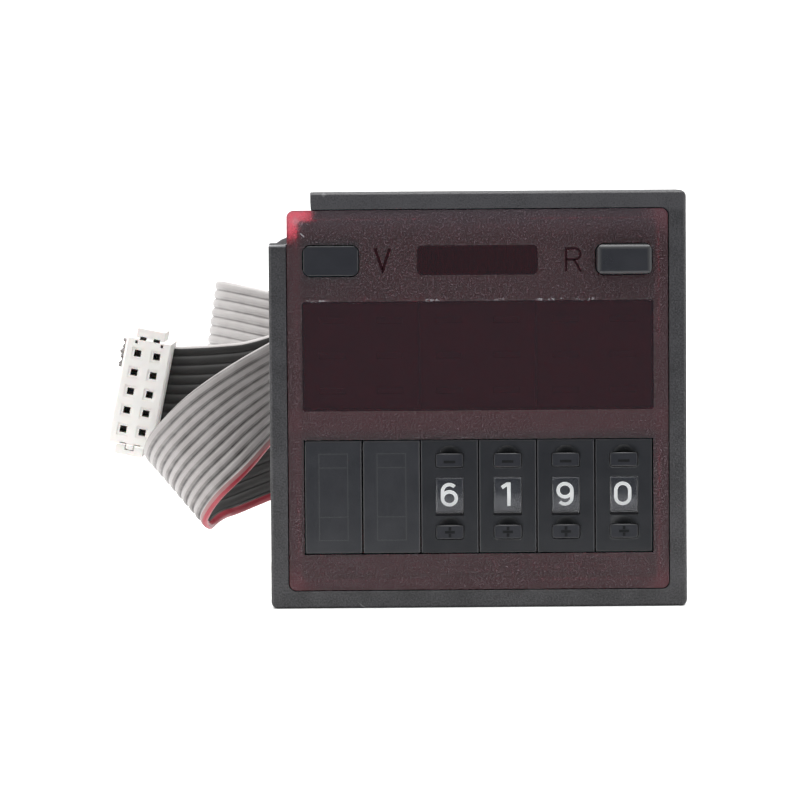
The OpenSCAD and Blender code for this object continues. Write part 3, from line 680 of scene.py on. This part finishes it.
def light_finish(j):
    """The finish of strip j on the light side, from the red edge up, with painted shade in grooves and
    on flanks.
    """
    way = j % PER_WAY
    if j < 3:
        return RED
    if j < 6:
        return BLUSH
    if way == 0:
        return GROOVE_SHADE
    return FLANK if way < 3 or way == PER_WAY - 1 else GREY


def dark_finish(j, at_end):
    """The finish of strip j on the dark side, pale where the end is cut."""
    if j < 6:
        return DARK_RED
    if at_end:
        return FLANK
    return GREY if j >= row - 3 else BLACK


line = smooth_route(ROUTE, 6)
centres = [Vector(p[:3]) for p in line]
offsets = [(k / PER_WAY - WAYS / 2) * PITCH for k in range(WAYS * PER_WAY + 1)]
row, end = len(offsets), len(line) - 1
torn_from = 2.4
verts, faces, finish = [], [], []
for k, point in enumerate(line):
    heading = (centres[min(k + 1, end)] - centres[max(k - 1, 0)]).normalized()
    lean, back = math.radians(point[3]), math.radians(point[4])
    across = Vector((-math.sin(lean) * math.cos(back), math.sin(back), math.cos(lean) * math.cos(back)))
    across = (across - across.dot(heading) * heading).normalized()
    face = heading.cross(across)
    for side in (1, -1):
        for s in offsets:
            out = ragged(s) if s > torn_from and k == end else 0
            verts.append(centres[k] + across * s + face * side * half_thickness(s) + heading * out)
for k in range(end):
    a, b = k * 2 * row, (k + 1) * 2 * row
    for j in range(row - 1):
        faces.append((a + j, a + j + 1, b + j + 1, b + j))
        faces.append((a + row + j + 1, a + row + j, b + row + j, b + row + j + 1))
        finish += [light_finish(j), dark_finish(j, k == end - 1)]
    faces += [(a + row, a, b, b + row), (a + row - 1, a + 2 * row - 1, b + 2 * row - 1, b + row - 1)]
    finish += [RED, GREY]
for a, turn in ((0, 1), (end * 2 * row, -1)):
    for j in range(row - 1):
        faces.append(tuple((a + j, a + row + j, a + row + j + 1, a + j + 1)[::turn]))
        finish.append(GREY)


def vinyl(name, dark, light, rough):
    """Soft cable vinyl with a faint sheen and handling marks, paler far behind."""
    made, shader, at = start_material(name)
    cloud = at.noise(2.5 * MM, detail=3.0)
    # paler and with less contrast towards the back, by its place along y
    paler_behind = (at.axis("Y") / MM).above(74, 90)
    spread = 0.1
    feed(
        shader,
        Base_Color=(cloud.above(0.3, 0.7) * 0.4 + paler_behind * 0.6).mix(dark, light),
        Roughness=rough - spread / 2 + cloud * spread,
        Normal=at.noise(0.3 * MM).bump(0.004 * MM),
    )
    return made


ribbon = add_piece(
    "ribbon_lead", verts, faces,
    [
        vinyl("vinyl_grey", (0.3, 0.28, 0.272), (0.38, 0.362, 0.356), rough=0.45),
        vinyl("vinyl_black", (0.02, 0.019, 0.018), (0.03, 0.028, 0.027), rough=0.6),
        vinyl("vinyl_red", (0.3, 0.025, 0.04), (0.4, 0.05, 0.07), rough=0.45),
        vinyl("vinyl_dark_red", (0.16, 0.01, 0.018), (0.22, 0.016, 0.028), rough=0.45),
        vinyl("vinyl_groove_shade", (0.06, 0.055, 0.053), (0.34, 0.323, 0.317), rough=0.5),
        vinyl("vinyl_blush", (0.26, 0.13, 0.13), (0.3, 0.16, 0.16), rough=0.45),
        vinyl("vinyl_flank", (0.16, 0.148, 0.143), (0.37, 0.352, 0.346), rough=0.45),
    ],
    "counter",
)
ribbon.data.polygons.foreach_set("material_index", finish)
ribbon.data.polygons.foreach_set("use_smooth", [True] * len(faces))
ribbon.data.update()
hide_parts("ribbon_cable")

# Connector. A white two-part socket: the body holds ten spring contacts behind
# square holes, and the cap clips on behind it and presses the ribbon onto them.

connector_white, shader, at = start_material(
    "connector_white", Subsurface_Weight=0.15, Subsurface_Scale=0.4 * MM
)
cloud = at.noise(2 * MM, detail=3.0)
feed(
    shader,
    Base_Color=cloud.mix((0.66, 0.64, 0.61), (0.74, 0.72, 0.69)),
    Roughness=0.4 + cloud * 0.15,
)
for name in ("connector_body", "connector_cap", "ribbon_header"):
    dress(name, connector_white, edge=0.1 * MM)

brass, shader, at = start_material("contact_brass", Metallic=1.0)
cloud = at.noise(0.5 * MM)
feed(
    shader,
    Base_Color=cloud.mix((0.55, 0.42, 0.18), (0.66, 0.52, 0.26)),
    Roughness=0.25 + cloud * 0.2,
)
dress("connector_contacts", brass)

# Studio. A pale seamless floor curves up behind and ends just before the front,
# which so reflects a dim room. Soft light comes from every side, also from below
# under the ribbon. The camera stands a little above and to the left of the front.

floor_z, bend = -24.0, 160.0
front_y, reach, wall_z, half_w = -40, 1000.0, 900, 1400
turns = [math.radians(9 * k) for k in range(1, 11)]
profile = [
    (front_y, floor_z), (reach, floor_z),
    *((reach + bend * math.sin(a), floor_z + bend * (1 - math.cos(a))) for a in turns),
    (reach + bend, wall_z),
]
mesh = bpy.data.meshes.new("studio_floor")
mesh.from_pydata(
    [Vector((x, y, z)) * MM for y, z in profile for x in (-half_w, half_w)], [],
    [(2 * k, 2 * k + 1, 2 * k + 3, 2 * k + 2) for k in range(len(profile) - 1)],
)
mesh.polygons.foreach_set("use_smooth", [True] * len(mesh.polygons))
floor = put("studio_floor", mesh)
paper, shader, at = start_material("studio_paper", Roughness=0.9, Emission_Strength=0.45)
# a patch of the floor under the ribbon glows, painted light that lights the ribbon from below and washes
# out its shadow on the floor
lamp_x, lamp_y, lamp_half_w, lamp_half_d = -38, 64, 26, 32
across, deep = (at.axis("X") / MM - lamp_x) / lamp_half_w, (at.axis("Y") / MM - lamp_y) / lamp_half_d
lit = 1 - (across * across + deep * deep).above(0.2, 1.0)
feed(
    shader,
    Base_Color=at.noise(40 * MM).mix((0.9, 0.9, 0.9), (0.92, 0.92, 0.92)),
    Emission_Color=lit.mix((0, 0, 0), (1, 1, 1)),
)
mesh.materials.append(paper)

world = bpy.data.worlds.new("studio")
bpy.context.scene.world = world
world.use_nodes = True
sky = Wire(world.node_tree).node("ShaderNodeTexCoord", {}, {}, "Generated")
ahead = 0 - sky.axis("Y")
room = ahead.above(0.9, 0.985)
ground = (0 - sky.axis("Z")).above(0.05, 0.3) * ahead.above(0.0, 0.4)
dim = room.math("MAXIMUM", room, ground * 0.85)
world.node_tree.links.new(
    dim.mix((1.15, 1.15, 1.15), (0.42, 0.45, 0.54)).out,
    world.node_tree.nodes["Background"].inputs["Color"],
)


def soft_light(name, place, aim, size, watts):
    """A square light of size metres, turned from its place to its aim."""
    lamp = bpy.data.lights.new(name, "AREA")
    lamp.shape = "SQUARE"
    lamp.size = size
    lamp.energy = watts
    made = put(name, lamp)
    made.location = place
    made.rotation_euler = (Vector(aim) - Vector(place)).to_track_quat("-Z", "Y").to_euler()


soft_light("top_box", place=(0, -0.2, 0.8), aim=(0, 0, 0), size=0.8, watts=2.0)
soft_light("back_box", place=(0, 0.2, 0.7), aim=(0, 0.5, 0), size=0.8, watts=9.0)

camera = put("camera", bpy.data.cameras.new("camera"))
camera.data.sensor_width = 36
camera.data.lens = 175.71
camera.data.clip_start = 0.01
camera.data.clip_end = 20
place, pan, tilt, roll = (-0.00991, -0.45447, 0.0274), -0.116, -3.488, -0.427
camera.matrix_world = (
    Matrix.Translation(place)
    @ Matrix.Rotation(math.radians(pan), 4, "Z")
    @ Matrix.Rotation(math.radians(90 + tilt), 4, "X")
    @ Matrix.Rotation(math.radians(roll), 4, "Z")
)
bpy.context.scene.camera = camera
bpy.context.scene.view_settings.view_transform = "Standard"
